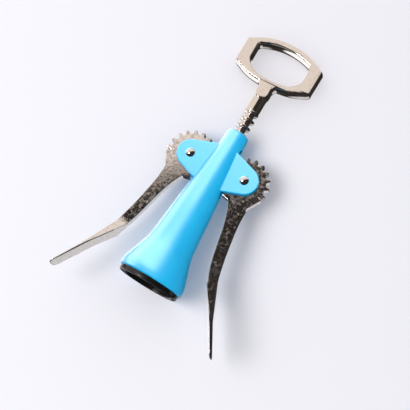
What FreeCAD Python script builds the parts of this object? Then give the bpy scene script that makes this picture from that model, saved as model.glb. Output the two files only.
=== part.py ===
import FreeCAD, Part
import math
import os

# A wing corkscrew lying on a table with both levers let down.
#
# Everything is first modelled in the tool's own frame, in millimetres: the origin is in the middle of
# the bell's lower edge, +Y runs up the tool towards the handle, X runs across the two levers and Z
# stands square to the plane that the levers swing in. place_on_table() then lays the whole tool down,
# so that the bell's rim and the far edge of the handle both touch z = 0.

V = FreeCAD.Vector
ACROSS = V(1, 0, 0)
ALONG = V(0, 1, 0)
UPWARD = V(0, 0, 1)

# --- Moulded body: a tube that flares into a bell, with two pairs of ear plates
NECK_TOP = 100.5
NECK_EDGE = 1.2
RIM_RADIUS = 19.7
RIM_HEIGHT = 3.0
RIM_EDGE = 1.0
BODY_FLANK = [(6.5, 19.1), (10.0, 17.9), (14.5, 16.4), (20.0, 14.6), (27.0, 13.4), (36.0, 12.5),
              (48.0, 11.5), (60.0, 10.3), (75.0, 8.9), (88.0, 7.6), (NECK_TOP - NECK_EDGE, 6.7)]
BELL_WALL = 2.2
BELL_STOP_RADIUS = 14.0
BELL_STOP_THICK = 1.6
GUIDE_BORE = 8.6
GUIDE_BORE_FOOT = 37.0

# --- Black ring in the bell's mouth, which sits on the bottle
RIM_WALL = 2.5
RING_WALL = 1.8
RING_LIP = 1.2
RING_PROUD = 2.9
RING_DEPTH = 8.0
RING_EDGE = 0.8

# --- Pivots and ear plates
PIVOT_OUT = 18.0
PIVOT_HEIGHT = 76.1
EAR_RADIUS = 8.4
EAR_SLOPE = 19.5
EAR_THICK = 1.8
EAR_EDGE = 0.5
RIVET_RADIUS = 1.9
RIVET_HEAD_RADIUS = 2.8
RIVET_HEAD_HEIGHT = 1.3

# --- Gear teeth on the lever heads, and the ringed rack that they turn
TEETH_PER_TURN = 18
FIRST_TOOTH = 0
LAST_TOOTH = 11
PITCH_RADIUS = 14.1
TOOTH_TIP = 0.9
TOOTH_ROOT = 1.7
FLANK_ANGLE = 20.0
TOOTH_THICK = 1.8
RACK_TIP = 0.7
RACK_ROOT = 1.3
RACK_TOOTH_THICK = 1.7
RINGS_BELOW_PIVOT = 3
RINGS_ABOVE_PIVOT = 8

# --- Levers
GEAR_THICK = 5.0
SHANK_INNER = [(-2.9, -14.0), (1.2, -24.0), (4.9, -40.0), (9.1, -56.0)]
SHANK_OUTER = [(9.3, -13.4), (9.2, -20.0), (10.5, -32.0), (12.9, -46.0), (15.6, -57.5)]
BLADE_INNER = [(12.1, -62.0), (20.7, -75.0)]
BLADE_OUTER = [(18.2, -64.0), (24.0, -78.0)]
BLADE_END = (34.2, -97.0)
BLADE_END_THICK = 0.8
BLADE_DEPTH = 12.2
BLADE_FLARE_START = -55.0
BLADE_FLARE_END = -67.0
BLADE_CORNER = 3.0
LEFT_LEVER_PLAY = 1.8

# --- Handle loop and the plain rod below it
HANDLE_THICK = 8.6
HANDLE_EDGE = 1.1
HANDLE_END_ROUND = 2.7
LOOP_TOP = 164.8
LOOP_SHOULDER = (25.7, 157.1)
LOOP_HIP = (25.4, 140.3)
LOOP_BELLY = (15.2, 136.1)
LOOP_FOOT = (6.0, 133.7)
FLARE_WAIST = (4.75, 131.2)
FLARE_START = (3.9, 127.0)
FLARE_CORNER_RADIUS = 7.8
OPENING_TOP = 160.6
OPENING_SHOULDER = (17.5, 156.5)
OPENING_HIP = (17.0, 145.4)
OPENING_BELLY = (12.4, 140.6)
OPENING_BOTTOM = 138.4
CORNER_ROUND = 2.0
ROD_RADIUS = 4.2

# --- Worm and the collar that centres the foot of the rack
WORM_TIP_HEIGHT = 9.5
WORM_WIRE = 1.5
WORM_COIL = 3.1
WORM_PITCH = 9.0
WORM_POINT = 6.0
WORM_HEAD_RADIUS = 5.2
WORM_HEAD_THICK = 4.0
SPIGOT_RADIUS = 1.5
SPIGOT_LENGTH = 12.0
JOURNAL_RADIUS = 3.6
COLLAR_THICK = 6.0

# --- Clearances
PIVOT_FIT = 0.05
COLLAR_FIT = 0.05
COLLAR_END_PLAY = 0.15
COLLAR_SIDE_GAP = 0.3
COLLAR_TRAVEL_UP = 2.6
NECK_GAP = 0.35
GEAR_SIDE_GAP = 0.3
GEAR_TIP_GAP = 0.6

# --- Sizes that follow
RING_SEAT_RADIUS = RIM_RADIUS - RIM_WALL
RING_BORE = RING_SEAT_RADIUS - RING_WALL
RING_OUTSIDE = RING_SEAT_RADIUS + RING_LIP
TOOTH_STEP = 2 * math.pi * PITCH_RADIUS / TEETH_PER_TURN
RACK_PITCH_LINE = PIVOT_OUT - PITCH_RADIUS
RACK_RADIUS = RACK_PITCH_LINE + RACK_TIP
NECK_BORE = RACK_RADIUS + NECK_GAP
SLOT_HALF = GEAR_THICK / 2 + GEAR_SIDE_GAP
EAR_FACE = SLOT_HALF + EAR_THICK
RACK_FOOT = PIVOT_HEIGHT - (RINGS_BELOW_PIVOT + 0.4) * TOOTH_STEP
RACK_HEAD = PIVOT_HEIGHT + RINGS_ABOVE_PIVOT * TOOTH_STEP
COLLAR_TOP = RACK_FOOT - COLLAR_END_PLAY
COLLAR_FOOT = COLLAR_TOP - COLLAR_THICK
WORM_HEAD_TOP = COLLAR_FOOT - COLLAR_END_PLAY
WORM_HEAD_FOOT = WORM_HEAD_TOP - WORM_HEAD_THICK
TAN_FLANK = math.tan(math.radians(FLANK_ANGLE))


def polar(radius, degrees):
    """A point at a radius and an angle about the origin, as (x, y)."""
    angle = math.radians(degrees)
    return (radius * math.cos(angle), radius * math.sin(angle))


def points(pairs):
    """Vectors in the lever plane from (x, y) pairs."""
    return [V(x, y, 0) for x, y in pairs]


def polygon(pairs):
    """Closed face in the lever plane with straight sides."""
    corners = points(pairs)
    return Part.Face(Part.makePolygon(corners + corners[:1]))


def plate(face, low, high):
    """A face of the lever plane made into a plate from z = low to z = high."""
    solid = face.extrude(V(0, 0, high - low))
    solid.translate(V(0, 0, low))
    return solid


def turned(edges):
    """Solid of revolution about the tool axis from edges that close on themselves."""
    return loop_face(edges).revolve(V(0, 0, 0), ALONG, 360)


def turned_polygon(pairs):
    """Solid of revolution about the tool axis from (radius, height) corners."""
    return polygon(pairs).revolve(V(0, 0, 0), ALONG, 360)


def cylinder(radius, foot, top):
    """Cylinder on the tool axis."""
    return Part.makeCylinder(radius, top - foot, V(0, foot, 0), ALONG)


def curve(pairs):
    """Smooth edge through (x, y) pairs."""
    line = Part.BSplineCurve()
    line.interpolate(points(pairs))
    return line.toShape()


def arc(start, middle, end):
    """Circular edge through three (x, y) pairs."""
    return Part.Arc(*points([start, middle, end])).toShape()


def chain(pairs):
    """Straight edges from each (x, y) pair to the next."""
    corners = points(pairs)
    return [Part.makeLine(a, b) for a, b in zip(corners, corners[1:])]


def loop_face(edges):
    """Face inside edges that close on themselves."""
    return Part.Face(Part.Wire(Part.__sortEdges__(edges)))


# ---------------------------------------------------------------- body

def body_outside():
    """The tube and bell as one solid of revolution, with a rounded rim and neck end."""
    flank = [(RIM_RADIUS, RIM_HEIGHT)] + [(radius, height) for height, radius in BODY_FLANK]
    neck_side = flank[-1]
    neck_edge = (neck_side[0] - NECK_EDGE, NECK_TOP)
    slant = NECK_EDGE * (1 - math.cos(math.radians(45)))
    neck_round = (neck_side[0] - slant, NECK_TOP - slant)
    rim_slant = RIM_EDGE * (1 - math.cos(math.radians(45)))
    rim_foot = (RIM_RADIUS - RIM_EDGE, 0)
    rim_side = (RIM_RADIUS, RIM_EDGE)
    rim_round = (RIM_RADIUS - rim_slant, rim_slant)
    edges = [arc(rim_foot, rim_round, rim_side), curve(flank), arc(neck_side, neck_round, neck_edge)]
    edges += chain([rim_side, flank[0]])
    edges += chain([neck_edge, (0, NECK_TOP), (0, 0), rim_foot])
    return turned(edges)


def bell_hollow():
    """Space inside the bell: ring seat, bottle stop, and a taper up to the guide bore."""
    stop_top = RING_DEPTH + BELL_STOP_THICK
    inside = [(min(radius - BELL_WALL, BELL_STOP_RADIUS), height) for height, radius in BODY_FLANK
              if stop_top < height < GUIDE_BORE_FOOT]
    taper = [(BELL_STOP_RADIUS, stop_top)] + inside + [(GUIDE_BORE, GUIDE_BORE_FOOT)]
    corners = [(0, 0), (RING_SEAT_RADIUS, 0), (RING_SEAT_RADIUS, RING_DEPTH)]
    corners += [(BELL_STOP_RADIUS, RING_DEPTH)] + taper + [(0, GUIDE_BORE_FOOT)]
    return turned_polygon(corners)


def ear_outline():
    """Outline of one pair of ear plates: two slanting edges that run onto a round end."""
    lean = math.radians(EAR_SLOPE)
    reach = PIVOT_OUT + EAR_RADIUS * math.sin(lean)
    rise = EAR_RADIUS * math.cos(lean)
    root_rise = rise + reach * math.tan(lean)
    upper = (reach, PIVOT_HEIGHT + rise)
    lower = (reach, PIVOT_HEIGHT - rise)
    edges = [arc(lower, (PIVOT_OUT + EAR_RADIUS, PIVOT_HEIGHT), upper)]
    edges += chain([upper, (0, PIVOT_HEIGHT + root_rise), (0, PIVOT_HEIGHT - root_rise), lower])
    return loop_face(edges)


def ear_plate():
    """One ear plate in front of the gear, with its outer edge softened."""
    solid = plate(ear_outline(), SLOT_HALF, EAR_FACE)
    outer = [edge for edge in solid.Edges
             if edge.BoundBox.ZMin > EAR_FACE - 0.01 and edge.BoundBox.XMax > 0.1]
    return solid.makeFillet(EAR_EDGE, outer)


def gear_slot():
    """Slot right through the tube that lets both gears reach the rack."""
    reach = PITCH_RADIUS + TOOTH_TIP + GEAR_TIP_GAP
    width = 2 * (PIVOT_OUT + reach)
    corner = V(-width / 2, PIVOT_HEIGHT - reach, -SLOT_HALF)
    return Part.makeBox(width, 2 * reach, 2 * SLOT_HALF, corner)


def make_body():
    """The moulded body in one piece."""
    front = ear_plate()
    plates = []
    for side in (front, front.mirror(V(0, 0, 0), UPWARD)):
        plates += [side, side.mirror(V(0, 0, 0), ACROSS)]
    solid = body_outside().multiFuse(plates)
    solid = solid.cut(bell_hollow())
    solid = solid.cut(cylinder(GUIDE_BORE, GUIDE_BORE_FOOT - 1, COLLAR_TOP + COLLAR_TRAVEL_UP))
    solid = solid.cut(cylinder(NECK_BORE, PIVOT_HEIGHT, NECK_TOP + 1))
    solid = solid.cut(cylinder(NECK_BORE, COLLAR_TOP, PIVOT_HEIGHT + 1))
    solid = solid.cut(gear_slot())
    for side in (-1, 1):
        solid = solid.cut(pivot_cylinder(side, RIVET_RADIUS, EAR_FACE + 1))
    return solid


def pivot_cylinder(side, radius, half_length):
    """Cylinder on a lever's pivot, reaching the same distance both ways from the lever plane."""
    foot = V(side * PIVOT_OUT, PIVOT_HEIGHT, -half_length)
    return Part.makeCylinder(radius, 2 * half_length, foot, UPWARD)


def make_mouth_ring():
    """Black ring: a sleeve inside the bell with a lip that stands proud of the rim."""
    lip = turned_polygon([(RING_BORE, -RING_PROUD), (RING_OUTSIDE, -RING_PROUD), (RING_OUTSIDE, 0),
                          (RING_SEAT_RADIUS, 0), (RING_SEAT_RADIUS, RING_DEPTH), (RING_BORE, RING_DEPTH)])
    front = [edge for edge in lip.Edges if edge.BoundBox.YMax < -RING_PROUD + 0.01]
    return lip.makeFillet(RING_EDGE, front)


def make_rivet(side):
    """Rivet through both ear plates, with a domed head at each end."""
    solid = pivot_cylinder(side, RIVET_RADIUS, EAR_FACE)
    dome_radius = (RIVET_HEAD_RADIUS ** 2 + RIVET_HEAD_HEIGHT ** 2) / (2 * RIVET_HEAD_HEIGHT)
    centre = V(side * PIVOT_OUT, PIVOT_HEIGHT, EAR_FACE + RIVET_HEAD_HEIGHT - dome_radius)
    ball = Part.makeSphere(dome_radius, centre)
    keep = Part.makeCylinder(RIVET_HEAD_RADIUS, 2 * RIVET_HEAD_HEIGHT,
                             V(side * PIVOT_OUT, PIVOT_HEIGHT, EAR_FACE), UPWARD)
    head = ball.common(keep)
    return solid.multiFuse([head, head.mirror(V(0, 0, 0), UPWARD)]).removeSplitter()


# ---------------------------------------------------------------- levers

def gear_tooth(degrees):
    """One straight-flanked tooth about the pivot, from inside the root circle to its tip."""
    root = PITCH_RADIUS - TOOTH_ROOT
    tip = PITCH_RADIUS + TOOTH_TIP
    foot = root - 1.0
    half_foot = TOOTH_THICK / 2 + (PITCH_RADIUS - foot) * TAN_FLANK
    half_tip = TOOTH_THICK / 2 - TOOTH_TIP * TAN_FLANK
    face = polygon([(foot, -half_foot), (tip, -half_tip), (tip, half_tip), (foot, half_foot)])
    face.rotate(V(0, 0, 0), UPWARD, degrees)
    return face


def arm_outline():
    """Flat outline of the lever's arm about its pivot, from the gear's web to the blade's tip."""
    web = PITCH_RADIUS + TOOTH_TIP
    step = 360 / TEETH_PER_TURN
    inner_web = polar(web, step * (LAST_TOOTH + 1))
    outer_web = polar(web, step * (FIRST_TOOTH - 1))
    inner_tip = (BLADE_END[0] - BLADE_END_THICK / 2, BLADE_END[1])
    outer_tip = (BLADE_END[0] + BLADE_END_THICK / 2, BLADE_END[1])
    edges = chain([inner_web, SHANK_INNER[0]]) + [curve(SHANK_INNER)]
    edges += chain(SHANK_INNER[-1:] + BLADE_INNER + [inner_tip, outer_tip])
    edges += chain(SHANK_OUTER[-1:] + BLADE_OUTER + [outer_tip]) + [curve(SHANK_OUTER)]
    edges += chain([SHANK_OUTER[0], outer_web, (0, 0), inner_web])
    return loop_face(edges)


def arm_side_view():
    """The arm seen from its inner side: flat at the head, then deepening into the blade."""
    flat = GEAR_THICK / 2
    deep = BLADE_DEPTH / 2
    end = BLADE_END[1]
    slant = BLADE_CORNER * (1 - math.cos(math.radians(45)))
    start = [(flat, 0), (flat, BLADE_FLARE_START), (deep, BLADE_FLARE_END), (deep, end + BLADE_CORNER)]
    tip = (deep - BLADE_CORNER, end)
    other_start = [(-x, y) for x, y in start]
    other_tip = (-tip[0], tip[1])
    corner = (deep - slant, end + slant)
    edges = chain(start) + [arc(start[-1], corner, tip)] + chain([tip, other_tip])
    edges += [arc(other_tip, (-corner[0], corner[1]), other_start[-1])]
    edges += chain(other_start) + chain([other_start[0], start[0]])
    return loop_face(edges)


def arm():
    """The lever's arm: its outline and its side view in one solid."""
    outline = plate(arm_outline(), -BLADE_DEPTH / 2, BLADE_DEPTH / 2)
    box = outline.BoundBox
    side = plate(arm_side_view(), box.XMin - 1, box.XMax + 1)
    side.rotate(V(0, 0, 0), ALONG, 90)
    return outline.common(side)


def make_lever(side):
    """A lever with its gear head; side is 1 on the right and -1 on the left."""
    half = GEAR_THICK / 2
    step = 360 / TEETH_PER_TURN
    disc = Part.makeCylinder(PITCH_RADIUS - TOOTH_ROOT, GEAR_THICK, V(0, 0, -half))
    pieces = [plate(gear_tooth(step * (number - 0.5)), -half, half)
              for number in range(FIRST_TOOTH, LAST_TOOTH + 1)]
    solid = disc.multiFuse(pieces + [arm()]).removeSplitter()
    solid = solid.cut(Part.makeCylinder(RIVET_RADIUS + PIVOT_FIT, 2 * GEAR_THICK, V(0, 0, -GEAR_THICK)))
    if side < 0:
        solid.rotate(V(0, 0, 0), UPWARD, LEFT_LEVER_PLAY)
        solid = solid.mirror(V(0, 0, 0), ACROSS)
    solid.translate(V(side * PIVOT_OUT, PIVOT_HEIGHT, 0))
    return solid


# ---------------------------------------------------------------- handle, rack and worm

def loop_outline():
    """Outline of the handle loop, drawn out into the rod at its foot."""
    shoulder, hip, belly, foot = LOOP_SHOULDER, LOOP_HIP, LOOP_BELLY, LOOP_FOOT
    neck = FLARE_START
    right = chain([shoulder, hip]) + [arc(hip, belly, foot), arc(foot, FLARE_WAIST, neck)]
    left = [edge.mirror(V(0, 0, 0), ACROSS) for edge in right]
    top = arc((-shoulder[0], shoulder[1]), (0, LOOP_TOP), shoulder)
    return loop_face(right + left + [top] + chain([neck, (-neck[0], neck[1])]))


def loop_opening():
    """Barrel-shaped opening of the handle loop at its narrowest, halfway through the casting."""
    shoulder, hip, belly = OPENING_SHOULDER, OPENING_HIP, OPENING_BELLY
    right = chain([shoulder, hip, belly])
    left = [edge.mirror(V(0, 0, 0), ACROSS) for edge in right]
    top = arc((-shoulder[0], shoulder[1]), (0, OPENING_TOP), shoulder)
    return loop_face(right + left + [top, arc((-belly[0], belly[1]), (0, OPENING_BOTTOM), belly)])


def upright_edges(solid, beyond):
    """Edges that run through the handle's thickness, further than a distance from the tool axis."""
    return [edge for edge in solid.Edges
            if edge.BoundBox.ZLength > HANDLE_THICK / 2 and abs(edge.CenterOfMass.x) > beyond]


def end_round_block():
    """Block as wide and thick as the loop, with its four long edges rounded to the loop's ends."""
    half = HANDLE_THICK / 2
    wide = max(LOOP_SHOULDER[0], LOOP_HIP[0])
    block = Part.makeBox(2 * wide, LOOP_TOP, HANDLE_THICK, V(-wide, 0, -half))
    long_edges = [edge for edge in block.Edges if edge.BoundBox.YLength > LOOP_TOP / 2]
    return block.makeFillet(HANDLE_END_ROUND, long_edges)


def flare_cone():
    """Cone that turns the square foot of the loop into the round rod, and leaves the loop whole."""
    foot, top = LOOP_FOOT[1], LOOP_TOP + HANDLE_THICK
    wide = 2 * LOOP_SHOULDER[0]
    return turned_polygon([(0, FLARE_START[1]), (ROD_RADIUS, FLARE_START[1]), (FLARE_CORNER_RADIUS, foot),
                           (wide, foot), (wide, top), (0, top)])


def make_loop():
    """The handle's loop with its edges rounded."""
    half = HANDLE_THICK / 2
    blank = plate(loop_outline(), -half, half)
    blank = blank.makeFillet(CORNER_ROUND, upright_edges(blank, FLARE_START[0] + 0.1))
    outer_rims = [edge for edge in blank.Edges
                  if edge.BoundBox.ZLength < 0.01 and edge.BoundBox.YMax > FLARE_START[1] + 0.5]
    blank = blank.makeFillet(HANDLE_EDGE, outer_rims)
    hole = plate(loop_opening(), -half, half)
    hole = hole.makeFillet(CORNER_ROUND, upright_edges(hole, 0))
    loop = blank.cut(hole)
    inner_rims = [edge for edge in loop.Edges
                  if edge.BoundBox.ZLength < 0.01 and hole.BoundBox.isInside(edge.CenterOfMass)]
    loop = loop.makeFillet(HANDLE_EDGE, inner_rims).common(end_round_block())
    return loop.common(flare_cone())


def make_handle():
    """Handle loop, plain rod and ringed rack, cast in one piece."""
    rod = cylinder(ROD_RADIUS, RACK_HEAD, LOOP_FOOT[1])
    solid = make_loop().fuse(rod).fuse(rack()).removeSplitter()
    return solid.cut(cylinder(SPIGOT_RADIUS, WORM_HEAD_TOP - 1, WORM_HEAD_TOP + SPIGOT_LENGTH))


def rack():
    """Rod with evenly spaced rings that the gears push on, and a journal at its foot."""
    root = RACK_PITCH_LINE - RACK_ROOT
    half_tip = RACK_TOOTH_THICK / 2 - RACK_TIP * TAN_FLANK
    half_root = RACK_TOOTH_THICK / 2 + RACK_ROOT * TAN_FLANK
    corners = [(0, WORM_HEAD_TOP), (JOURNAL_RADIUS, WORM_HEAD_TOP), (JOURNAL_RADIUS, RACK_FOOT)]
    corners += [(RACK_RADIUS, RACK_FOOT)]
    for number in range(-RINGS_BELOW_PIVOT, RINGS_ABOVE_PIVOT + 1):
        middle = PIVOT_HEIGHT + number * TOOTH_STEP
        if number > -RINGS_BELOW_PIVOT:
            corners += [(root, middle - half_root), (RACK_RADIUS, middle - half_tip)]
        corners += [(RACK_RADIUS, middle + half_tip), (root, middle + half_root)]
    corners += [(root, RACK_HEAD + TOOTH_STEP / 2), (0, RACK_HEAD + TOOTH_STEP / 2)]
    return turned_polygon(corners)


def make_worm():
    """Open steel helix with a sharp point, a flat head and a spigot pressed into the rack."""
    slope = math.atan2(WORM_PITCH, 2 * math.pi * WORM_COIL)
    forward = V(0, math.cos(slope), math.sin(slope))
    start = V(WORM_COIL, 0, 0)
    rise = WORM_HEAD_FOOT - WORM_TIP_HEIGHT - WORM_POINT * math.sin(slope)
    spine = Part.Wire(Part.makeHelix(WORM_PITCH, rise, WORM_COIL))
    profile = Part.Wire(Part.makeCircle(WORM_WIRE, start, forward))
    coil = spine.makePipeShell([profile], True, True)
    point = Part.makeCone(WORM_WIRE, WORM_WIRE / 12, WORM_POINT, start, forward * -1)
    coil = coil.fuse(point)
    coil.rotate(V(0, 0, 0), ACROSS, -90)
    coil.translate(V(0, WORM_HEAD_FOOT - rise, 0))
    head = cylinder(WORM_HEAD_RADIUS, WORM_HEAD_FOOT - WORM_WIRE, WORM_HEAD_TOP)
    spigot = cylinder(SPIGOT_RADIUS, WORM_HEAD_TOP - 1, WORM_HEAD_TOP + SPIGOT_LENGTH)
    return head.fuse(spigot).fuse(coil).removeSplitter()


def make_collar():
    """Plain collar that keeps the foot of the rack central in the body's bore."""
    ring = cylinder(GUIDE_BORE - COLLAR_SIDE_GAP, COLLAR_FOOT, COLLAR_TOP)
    return ring.cut(cylinder(JOURNAL_RADIUS + COLLAR_FIT, COLLAR_FOOT - 1, COLLAR_TOP + 1))


# ---------------------------------------------------------------- assembly

def make_pieces():
    """Every piece in the tool's own frame, by node name."""
    return {
        "body": make_body(),
        "mouth_ring": make_mouth_ring(),
        "rivet_left": make_rivet(-1),
        "rivet_right": make_rivet(1),
        "lever_left": make_lever(-1),
        "lever_right": make_lever(1),
        "guide_collar": make_collar(),
        "handle_rack": make_handle(),
        "worm": make_worm(),
    }


def place_on_table(pieces):
    """Placement that lays the tool on z = 0 with the origin under the middle of its bounding box."""
    run = LOOP_TOP - HANDLE_EDGE - RIM_HEIGHT
    rise = RIM_RADIUS - HANDLE_THICK / 2 + HANDLE_EDGE
    tilt = math.atan2(rise, run) - math.asin(HANDLE_EDGE / math.hypot(run, rise))
    turn = FreeCAD.Placement(V(0, 0, 0), FreeCAD.Rotation(ACROSS, -math.degrees(tilt)))
    laid = Part.makeCompound(list(pieces.values()))
    laid.Placement = turn
    box = laid.optimalBoundingBox(False, False)
    shift = V(-(box.XMin + box.XMax) / 2, -(box.YMin + box.YMax) / 2, -box.ZMin)
    return FreeCAD.Placement(shift, turn.Rotation)


def main():
    """Writes one STEP file for each piece."""
    os.makedirs("parts", exist_ok=True)
    pieces = make_pieces()
    placement = place_on_table(pieces)
    for name, shape in pieces.items():
        shape.Placement = placement.multiply(shape.Placement)
        shape.exportStep("parts/" + name + ".step")
        box = shape.BoundBox
        print(name, shape.isValid(), len(shape.Solids), round(shape.Volume, 1),
              [round(v, 2) for v in (box.XMin, box.XMax, box.YMin, box.YMax, box.ZMin, box.ZMax)])


main()
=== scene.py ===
import math
import bmesh
import bpy
from mathutils import Matrix, Vector


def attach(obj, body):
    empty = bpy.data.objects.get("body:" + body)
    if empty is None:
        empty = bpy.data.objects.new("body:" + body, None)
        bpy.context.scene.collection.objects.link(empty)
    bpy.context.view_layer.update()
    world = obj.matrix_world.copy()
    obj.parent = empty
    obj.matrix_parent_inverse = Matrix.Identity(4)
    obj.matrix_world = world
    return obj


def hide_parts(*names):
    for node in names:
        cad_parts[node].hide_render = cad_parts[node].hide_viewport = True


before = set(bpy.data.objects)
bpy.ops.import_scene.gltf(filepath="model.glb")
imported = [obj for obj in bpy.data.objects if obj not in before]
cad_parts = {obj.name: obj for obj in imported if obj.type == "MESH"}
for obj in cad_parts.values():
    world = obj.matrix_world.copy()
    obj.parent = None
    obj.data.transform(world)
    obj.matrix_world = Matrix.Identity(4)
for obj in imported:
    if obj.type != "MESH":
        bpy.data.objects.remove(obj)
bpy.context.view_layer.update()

# ---------------------------------------------------------------- camera
# Looks down on the tool from above its right side, about half a metre away, and turned so that
# the handle is at the upper right and the bell at the lower left.

camera_place = (0.11905, -0.07362, 0.49198)
camera_right = Vector((0.8564, 0.4954, -0.1451))
camera_up = Vector((-0.4629, 0.8614, 0.2093))
camera_back = Vector((0.2287, -0.1121, 0.9670))
camera_data = bpy.data.cameras.new("camera")
camera_data.lens = 75.2
camera_data.sensor_width = 36
camera_data.clip_start = 0.01
camera = bpy.data.objects.new("camera", camera_data)
bpy.context.scene.collection.objects.link(camera)
camera_turned = Matrix((camera_right, camera_up, camera_back)).transposed().to_4x4()
camera.matrix_world = Matrix.Translation(camera_place) @ camera_turned
bpy.context.scene.camera = camera
bpy.context.scene.view_settings.view_transform = "Standard"

# ---------------------------------------------------------------- floor
# A sheet of smooth white card that the tool lies on. The plated metal doesn't mirror the card
# itself: what it mirrors below is part of the room's light.

card_half = 3.0
card = bpy.data.meshes.new("floor")
bm = bmesh.new()
bmesh.ops.create_grid(bm, x_segments=1, y_segments=1, size=card_half)
bm.to_mesh(card)
bm.free()
floor = bpy.data.objects.new("floor", card)
bpy.context.scene.collection.objects.link(floor)
floor.visible_glossy = False
white_card = bpy.data.materials.new("white_card")
white_card.use_nodes = True
card_shader = white_card.node_tree.nodes["Principled BSDF"]
card_shader.inputs["Base Color"].default_value = (0.90, 0.885, 0.935, 1)
card_shader.inputs["Roughness"].default_value = 1.0
card_shader.inputs["Specular IOR Level"].default_value = 0.0
card.materials.append(white_card)

# ---------------------------------------------------------------- studio light
# A large soft window on the left, with a smaller bright pane in it that only gloss shows, in an
# even pale room. Polished metal mirrors a cream wall beyond the handle, a dark ceiling, a white
# screen at the near left and a pale shelf low on the right.

tool_middle = Vector((0, 0, 0.02))


def lamp(name, place, size, watts, height=None):
    """Soft panel of light at a place, turned to the tool: size goes round it, height along it."""
    data = bpy.data.lights.new(name, "AREA")
    data.shape = "DISK" if height is None else "RECTANGLE"
    data.size = size
    if height is not None:
        data.size_y = height
    data.energy = watts
    panel = bpy.data.objects.new(name, data)
    bpy.context.scene.collection.objects.link(panel)
    away = (Vector(place) - tool_middle).normalized()
    around = Vector((0, 1, 0)).cross(away).normalized()
    turned = Matrix((around, away.cross(around), away)).transposed().to_4x4()
    panel.matrix_world = Matrix.Translation(place) @ turned
    return panel


def cloudy(tree, place, scale, detail, crispness=0.5):
    """Cloudy pattern with a scale in patches to the metre."""
    pattern = tree.nodes.new("ShaderNodeTexNoise")
    pattern.inputs["Scale"].default_value = scale
    pattern.inputs["Detail"].default_value = detail
    pattern.inputs["Roughness"].default_value = crispness
    tree.links.new(place, pattern.inputs["Vector"])
    return pattern.outputs["Fac"]


def shaded(tree, amount, low, low_colour, high, high_colour):
    """Colour that goes from one to the other while an amount goes from low to high."""
    ramp = tree.nodes.new("ShaderNodeValToRGB")
    ramp.color_ramp.elements[0].position = low
    ramp.color_ramp.elements[0].color = (*low_colour, 1)
    ramp.color_ramp.elements[1].position = high
    ramp.color_ramp.elements[1].color = (*high_colour, 1)
    tree.links.new(amount, ramp.inputs["Fac"])
    return ramp.outputs["Color"]


def graded(tree, amount, low, high, at_low=0.0, at_high=1.0):
    """Number that goes from at_low to at_high while an amount goes from low to high."""
    ranged = tree.nodes.new("ShaderNodeMapRange")
    ranged.inputs["From Min"].default_value = low
    ranged.inputs["From Max"].default_value = high
    ranged.inputs["To Min"].default_value = at_low
    ranged.inputs["To Max"].default_value = at_high
    tree.links.new(amount, ranged.inputs["Value"])
    return ranged.outputs["Result"]


window_place = (-0.754, -0.436, 1.362)
window = lamp("window", window_place, size=1.15, watts=15)
window.visible_glossy = False
glint = lamp("window_glint", window_place, size=0.55, watts=16)
glint.visible_diffuse = False

world = bpy.data.worlds.new("studio")
bpy.context.scene.world = world
world.use_nodes = True
room = world.node_tree
room_out = room.nodes["World Output"]
even_light = room.nodes["Background"]
even_light.inputs["Color"].default_value = (0.97, 0.98, 1.0, 1)
even_light.inputs["Strength"].default_value = 0.60
direction = room.nodes.new("ShaderNodeTexCoord").outputs["Generated"]
clutter = cloudy(room, direction, scale=7.0, detail=2.0)
seen = shaded(room, clutter, 0.50, (0.022, 0.018, 0.016), 0.70, (0.075, 0.068, 0.066))
# Each of these fills the directions round its own, as far as the two cosines of its soft edge.
cream_wall = ((-0.677, 0.708, -0.068), 0.342, 0.354, (0.95, 0.84, 0.76, 1))
white_screen = ((-0.600, -0.520, -0.608), 0.88, 0.91, (1.30, 1.30, 1.32, 1))
pale_shelf = ((0.28, -0.30, -0.91), 0.93, 0.96, (0.72, 0.71, 0.73, 1))
for toward, outer_edge, inner_edge, colour in (cream_wall, white_screen, pale_shelf):
    facing = room.nodes.new("ShaderNodeVectorMath")
    facing.operation = "DOT_PRODUCT"
    facing.inputs[1].default_value = toward
    room.links.new(direction, facing.inputs[0])
    covered = graded(room, facing.outputs["Value"], outer_edge, inner_edge)
    surface = room.nodes.new("ShaderNodeMix")
    surface.data_type = "RGBA"
    surface.inputs["B"].default_value = colour
    room.links.new(covered, surface.inputs["Factor"])
    room.links.new(seen, surface.inputs["A"])
    seen = surface.outputs["Result"]
mirrored = room.nodes.new("ShaderNodeBackground")
room.links.new(seen, mirrored.inputs["Color"])
ray = room.nodes.new("ShaderNodeLightPath")
choose = room.nodes.new("ShaderNodeMixShader")
room.links.new(ray.outputs["Is Glossy Ray"], choose.inputs["Fac"])
room.links.new(even_light.outputs["Background"], choose.inputs[1])
room.links.new(mirrored.outputs["Background"], choose.inputs[2])
room.links.new(choose.outputs["Shader"], room_out.inputs["Surface"])

# ---------------------------------------------------------------- body
# One moulding in glossy cyan plastic: the tube, the bell and the four ear plates. It came out
# of a polished mould, so its skin has only a trace of waviness and fine handling scuffs.


def bumpy(tree, pattern, depth):
    """Surface that a pattern raises by up to a depth in metres."""
    skin = tree.nodes.new("ShaderNodeBump")
    skin.inputs["Strength"].default_value = 1.0
    skin.inputs["Distance"].default_value = depth
    tree.links.new(pattern, skin.inputs["Height"])
    return skin.outputs["Normal"]


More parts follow.
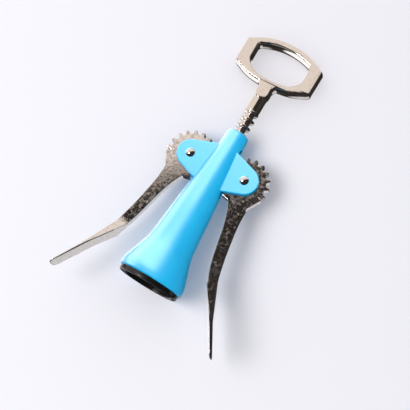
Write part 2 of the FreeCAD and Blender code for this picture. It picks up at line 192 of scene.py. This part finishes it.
def moulded(name, colour, shade, patch_size, grain_size, grain_depth, smooth, scuffed):
    """Moulded plastic: faint change of colour, fine grain, and gloss that varies with wear."""
    material = bpy.data.materials.new(name)
    material.use_nodes = True
    tree = material.node_tree
    shader = tree.nodes["Principled BSDF"]
    place = tree.nodes.new("ShaderNodeTexCoord").outputs["Object"]
    patches = cloudy(tree, place, scale=1 / patch_size, detail=3)
    grain = cloudy(tree, place, scale=1 / grain_size, detail=4)
    tree.links.new(shaded(tree, patches, 0.35, shade, 0.65, colour), shader.inputs["Base Color"])
    tree.links.new(bumpy(tree, grain, grain_depth), shader.inputs["Normal"])
    tree.links.new(graded(tree, patches, 0.45, 0.70, smooth, scuffed), shader.inputs["Roughness"])
    return material


def dress(node, material):
    """Gives one of the solids its finish."""
    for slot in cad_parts[node].material_slots:
        slot.material = material


def all_but(name, pieces):
    """Everything except some pieces, as what a lamp lights or what shades it."""
    others = bpy.data.collections.new(name)
    for piece in pieces:
        others.objects.link(piece)
    for entry in others.collection_objects:
        entry.light_linking.link_state = "EXCLUDE"
    return others


blue_plastic = moulded("blue_plastic", colour=(0.0, 0.49, 0.88), shade=(0.0, 0.47, 0.86),
                       patch_size=0.009, grain_size=0.0006, grain_depth=3e-6,
                       smooth=0.38, scuffed=0.44)
dress("body", blue_plastic)

# Panels of its own light the body and nothing else: three for its long soft sheen, one overhead
# for its colour. The pane leaves it out.
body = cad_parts["body"]
body_only = bpy.data.collections.new("body_only")
body_only.objects.link(body)
glint.light_linking.receiver_collection = all_but("all_but_body", [body])
for name, place, size, height, watts, casts in (
        ("sheen_over", (-0.30, 0.78, 0.92), 1.15, 0.90, 38, "gloss"),
        ("sheen_side", (-1.07, 0.50, 0.13), 1.32, 1.50, 54, "gloss"),
        ("sheen_under", (-0.66, 0.45, -0.80), 1.30, 1.50, 26, "gloss"),
        ("body_glow", (0.05, 0.0, 1.18), 0.50, 0.50, 6.6, "diffuse")):
    panel = lamp(name, place, size, watts, height)
    panel.visible_diffuse = casts == "diffuse"
    panel.visible_glossy = casts == "gloss"
    panel.light_linking.receiver_collection = body_only
    panel.light_linking.blocker_collection = body_only

# ---------------------------------------------------------------- mouth ring
# Black nylon ring pressed into the bell's mouth, which sits on the bottle. Handling has rubbed
# parts of it a little duller than the rest.

black_nylon = moulded("black_nylon", colour=(0.006, 0.005, 0.005), shade=(0.010, 0.009, 0.009),
                      patch_size=0.004, grain_size=0.0004, grain_depth=8e-6,
                      smooth=0.20, scuffed=0.36)
dress("mouth_ring", black_nylon)

# ---------------------------------------------------------------- rivets
# Two polished steel rivets, which the levers turn on. They are pressed through the ear plates
# and headed into a dome at each end.

polished = 0.07
speck_span = 0.25


def plated(name, bright, tan, wave_size, wave_depth, speck_size, speck_from, dull):
    """Bright nickel plate over a casting: soft waves in the surface and fine duller specks."""
    material = bpy.data.materials.new(name)
    material.use_nodes = True
    tree = material.node_tree
    shader = tree.nodes["Principled BSDF"]
    shader.inputs["Metallic"].default_value = 1
    place = tree.nodes.new("ShaderNodeTexCoord").outputs["Object"]
    waves = cloudy(tree, place, scale=1 / wave_size, detail=2)
    specks = cloudy(tree, place, scale=1 / speck_size, detail=4, crispness=0.65)
    speck_to = speck_from + speck_span
    roughness = graded(tree, specks, speck_from, speck_to, polished, dull)
    tree.links.new(bumpy(tree, waves, wave_depth), shader.inputs["Normal"])
    tree.links.new(roughness, shader.inputs["Roughness"])
    tree.links.new(shaded(tree, specks, speck_from, bright, speck_to, tan),
                   shader.inputs["Base Color"])
    return material


rivet_steel = plated("rivet_steel", bright=(0.86, 0.82, 0.79), tan=(0.74, 0.68, 0.62),
                     wave_size=0.0012, wave_depth=6e-6, speck_size=0.0008, speck_from=0.50,
                     dull=0.18)
for rivet in ("rivet_left", "rivet_right"):
    dress(rivet, rivet_steel)

# ---------------------------------------------------------------- levers
# Two mirrored zinc castings, nickel plated: a gear head, a flat shank and a deep thin blade.
# The casting's skin shows through the plate as fine mottling, and its edges are tumbled round.


def finished(name, bm, material):
    """Object made of a bmesh, smooth all over, with its large flat faces kept flat."""
    mesh = bpy.data.meshes.new(name)
    for face in bm.faces:
        face.smooth = True
    bm.to_mesh(mesh)
    bm.free()
    mesh.materials.append(material)
    piece = bpy.data.objects.new(name, mesh)
    bpy.context.scene.collection.objects.link(piece)
    true_flats = piece.modifiers.new("true_flats", "WEIGHTED_NORMAL")
    true_flats.mode = "FACE_AREA"
    true_flats.weight = 100
    return piece


def soften_edges(bm, over, width):
    """Rounds every edge that turns by more than an angle in degrees."""
    crisp = [edge for edge in bm.edges
             if edge.is_manifold and edge.calc_face_angle() > math.radians(over)]
    bmesh.ops.bevel(bm, geom=crisp, offset=width, segments=2, affect="EDGES", profile=0.5,
                    clamp_overlap=False, material=-1)


# The tool's own frame, in millimetres from the middle of the bell's rim, laid on the table.
on_table = (Matrix.Translation((0.001514885, -0.071622532, 0.019913466))
            @ Matrix.Rotation(math.radians(-5.4722), 4, "X") @ Matrix.Scale(0.001, 4))
pivot_out, pivot_height = 18.0, 76.1
shank_half, blade_half = 2.5, 6.1
# The shank deepens into the blade between two heights below the rivet. On the side towards the
# bell the blade's corner slides up, on the other side down, each along its own slanting edge,
# and the depth grows over its own length, so that the crease runs aslant.
flare_start, flare_end = -55.0, -67.0
flare_length = flare_start - flare_end
middle_at_start, middle_slant = 12.1, 0.44
inner_slide, inner_slant, inner_growth = -5.0, 0.66, 7
outer_slide, outer_slant, outer_growth = 10.0, 0.414, 22
lever_nickel = plated("lever_nickel", bright=(0.80, 0.77, 0.75), tan=(0.66, 0.63, 0.61),
                      wave_size=0.0010, wave_depth=9e-6, speck_size=0.0019, speck_from=0.46,
                      dull=0.30)
for side, sign, play in (("left", -1, 1.8), ("right", 1, 0.0)):
    bm = bmesh.new()
    bm.from_mesh(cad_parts["lever_" + side].data)
    bmesh.ops.remove_doubles(bm, verts=bm.verts, dist=1e-6)
    bmesh.ops.dissolve_limit(bm, angle_limit=math.radians(1), verts=bm.verts, edges=bm.edges)
    lever_frame = (on_table @ Matrix.Translation((sign * pivot_out, pivot_height, 0))
                   @ Matrix.Diagonal((sign, 1, 1, 1)) @ Matrix.Rotation(math.radians(play), 4, "Z"))
    bmesh.ops.transform(bm, matrix=lever_frame.inverted(), verts=bm.verts)
    for vert in bm.verts:
        x, y, z = vert.co
        run = flare_start - y
        if not 0 < run < flare_length + 0.1 or abs(z) < shank_half + 0.01:
            continue
        if x < middle_at_start + middle_slant * run:
            slide, slant, growth = inner_slide, inner_slant, inner_growth
        else:
            slide, slant, growth = outer_slide, outer_slant, outer_growth
        if run > flare_length - 0.1:
            vert.co = (x + slide * slant, y - slide, z)
        else:
            rise = (blade_half - shank_half) * min(1, run / growth)
            vert.co.z = math.copysign(shank_half + rise, z)
    soften_edges(bm, over=30, width=0.36)
    bmesh.ops.transform(bm, matrix=lever_frame, verts=bm.verts)
    bmesh.ops.recalc_face_normals(bm, faces=bm.faces)
    lever = finished("lever_%s_plated" % side, bm, lever_nickel)
    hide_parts("lever_" + side)
    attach(lever, "lever_" + side)

# ---------------------------------------------------------------- guide collar
# Plain moulded nylon ring round the foot of the rack. It slides in the body's bore and keeps the
# rack central, and the rack turns freely in it.

natural_nylon = moulded("natural_nylon", colour=(0.72, 0.70, 0.64), shade=(0.66, 0.64, 0.58),
                        patch_size=0.003, grain_size=0.0004, grain_depth=6e-6,
                        smooth=0.40, scuffed=0.55)
dress("guide_collar", natural_nylon)

# ---------------------------------------------------------------- worm
# Open helix of plated steel wire with a ground point, pressed into the foot of the rack. Drawing
# and coiling the wire leave it duller than the castings.

worm_steel = plated("worm_steel", bright=(0.64, 0.63, 0.62), tan=(0.52, 0.50, 0.48),
                    wave_size=0.0020, wave_depth=1e-5, speck_size=0.0006, speck_from=0.42,
                    dull=0.38)
dress("worm", worm_steel)

# ---------------------------------------------------------------- handle and rack
# One nickel-plated zinc casting: a flat loop with bull-nosed walls, whose flat ends in a rounded
# tongue on a plain rod, and the rings that the gears push on. It turns on the collar at its foot.

half_thick = 4.3
nose = 1.2
loop_edge = [(0, 164.8, "smooth"), (13.5, 162.8, "smooth"), (24.9, 157.6, "corner"),
             (25.7, 156.4, "corner"), (25.5, 141.2, "corner"), (24.7, 140.0, "corner"),
             (15.2, 136.1, "smooth"), (5.6, 134.5, "corner"), (4.5, 132.4, "corner"),
             (4.2, 127.4, "smooth"), (2.6, 125.2, "smooth"), (0, 124.4, "smooth")]
opening_edge = [(0, 160.0, "smooth"), (9.0, 159.0, "smooth"), (16.4, 156.6, "corner"),
                (17.3, 155.2, "corner"), (17.0, 146.4, "corner"), (16.4, 144.8, "smooth"),
                (12.4, 140.6, "smooth"), (6.0, 138.9, "smooth"), (0, 138.4, "smooth")]
flat = bpy.data.curves.new("handle_outline", "CURVE")
flat.dimensions = "2D"
flat.fill_mode = "BOTH"
flat.resolution_u = 8
flat.bevel_depth = nose
flat.bevel_resolution = 6
flat.offset = -nose
for edge in (loop_edge, opening_edge):
    corners = edge + [(-x, y, kind) for x, y, kind in reversed(edge) if x > 0]
    spline = flat.splines.new("BEZIER")
    spline.bezier_points.add(len(corners) - 1)
    spline.use_cyclic_u = True
    for point, (x, y, kind) in zip(spline.bezier_points, corners):
        point.co = (x, y, 0)
        point.handle_left_type = "AUTO" if kind == "smooth" else "VECTOR"
        point.handle_right_type = point.handle_left_type
outline = bpy.data.objects.new("handle_outline", flat)
bpy.context.scene.collection.objects.link(outline)
bm = bmesh.new()
bm.from_mesh(bpy.data.meshes.new_from_object(outline))
bpy.data.objects.remove(outline)
bmesh.ops.remove_doubles(bm, verts=bm.verts, dist=1e-3)
bmesh.ops.scale(bm, vec=(1, 1, half_thick / nose), verts=bm.verts)

# Half the rod's section, as radius and height: the bored foot, the rings and the root between
# each two, then the plain rod. The last ring runs straight into it.
ring_step = 4.922
ring_count = 12
ring_radius, ring_half = 4.6, 0.6
root_radius, root_half = 2.6, 1.32
first_ring = pivot_height - 3 * ring_step
profile = [(0, 65.0), (1.5, 65.0), (1.5, 53.07), (3.6, 53.07), (3.6, 59.37), (ring_radius, 59.37)]
for number in range(ring_count):
    middle = first_ring + number * ring_step
    if number > 0:
        profile += [(root_radius, middle - root_half), (ring_radius, middle - ring_half)]
    profile += [(ring_radius, middle + ring_half), (root_radius, middle + root_half)]
profile = profile[:-1] + [(4.2, 116.3), (4.2, 127.0), (4.3, 130.5), (4.6, 133.6), (0, 136.0)]
rod = bmesh.new()
line = [rod.verts.new((radius, height, 0)) for radius, height in profile]
for low, high in zip(line, line[1:]):
    rod.edges.new((low, high))
bmesh.ops.spin(rod, geom=rod.verts[:] + rod.edges[:], cent=(0, 0, 0), axis=(0, 1, 0),
               angle=math.tau, steps=48, use_merge=True)
bmesh.ops.remove_doubles(rod, verts=rod.verts, dist=1e-4)
soften_edges(rod, over=15, width=0.3)
neck_height, neck_flattening = 132, 0.76
bmesh.ops.scale(rod, vec=(1, 1, neck_flattening),
                verts=[vert for vert in rod.verts if vert.co.y > neck_height])
rod_mesh = bpy.data.meshes.new("rod")
rod.to_mesh(rod_mesh)
rod.free()
bm.from_mesh(rod_mesh)
bmesh.ops.recalc_face_normals(bm, faces=bm.faces)
bmesh.ops.transform(bm, matrix=on_table, verts=bm.verts)
handle_nickel = plated("handle_nickel", bright=(0.78, 0.745, 0.715), tan=(0.72, 0.65, 0.57),
                       wave_size=0.004, wave_depth=1.2e-5, speck_size=0.0014, speck_from=0.52,
                       dull=0.20)
handle = finished("handle_plated", bm, handle_nickel)
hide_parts("handle_rack")
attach(handle, "spindle")

# The handle lies close to the card: the window's light goes through it, so that its shadow stays
# faint, and its own gloss comes from the room and the bright pane. The window leaves out the body
# too, which has its own panels.
window.light_linking.blocker_collection = all_but("all_but_handle", [handle])
window.light_linking.receiver_collection = all_but("all_but_body_and_handle", [body, handle])
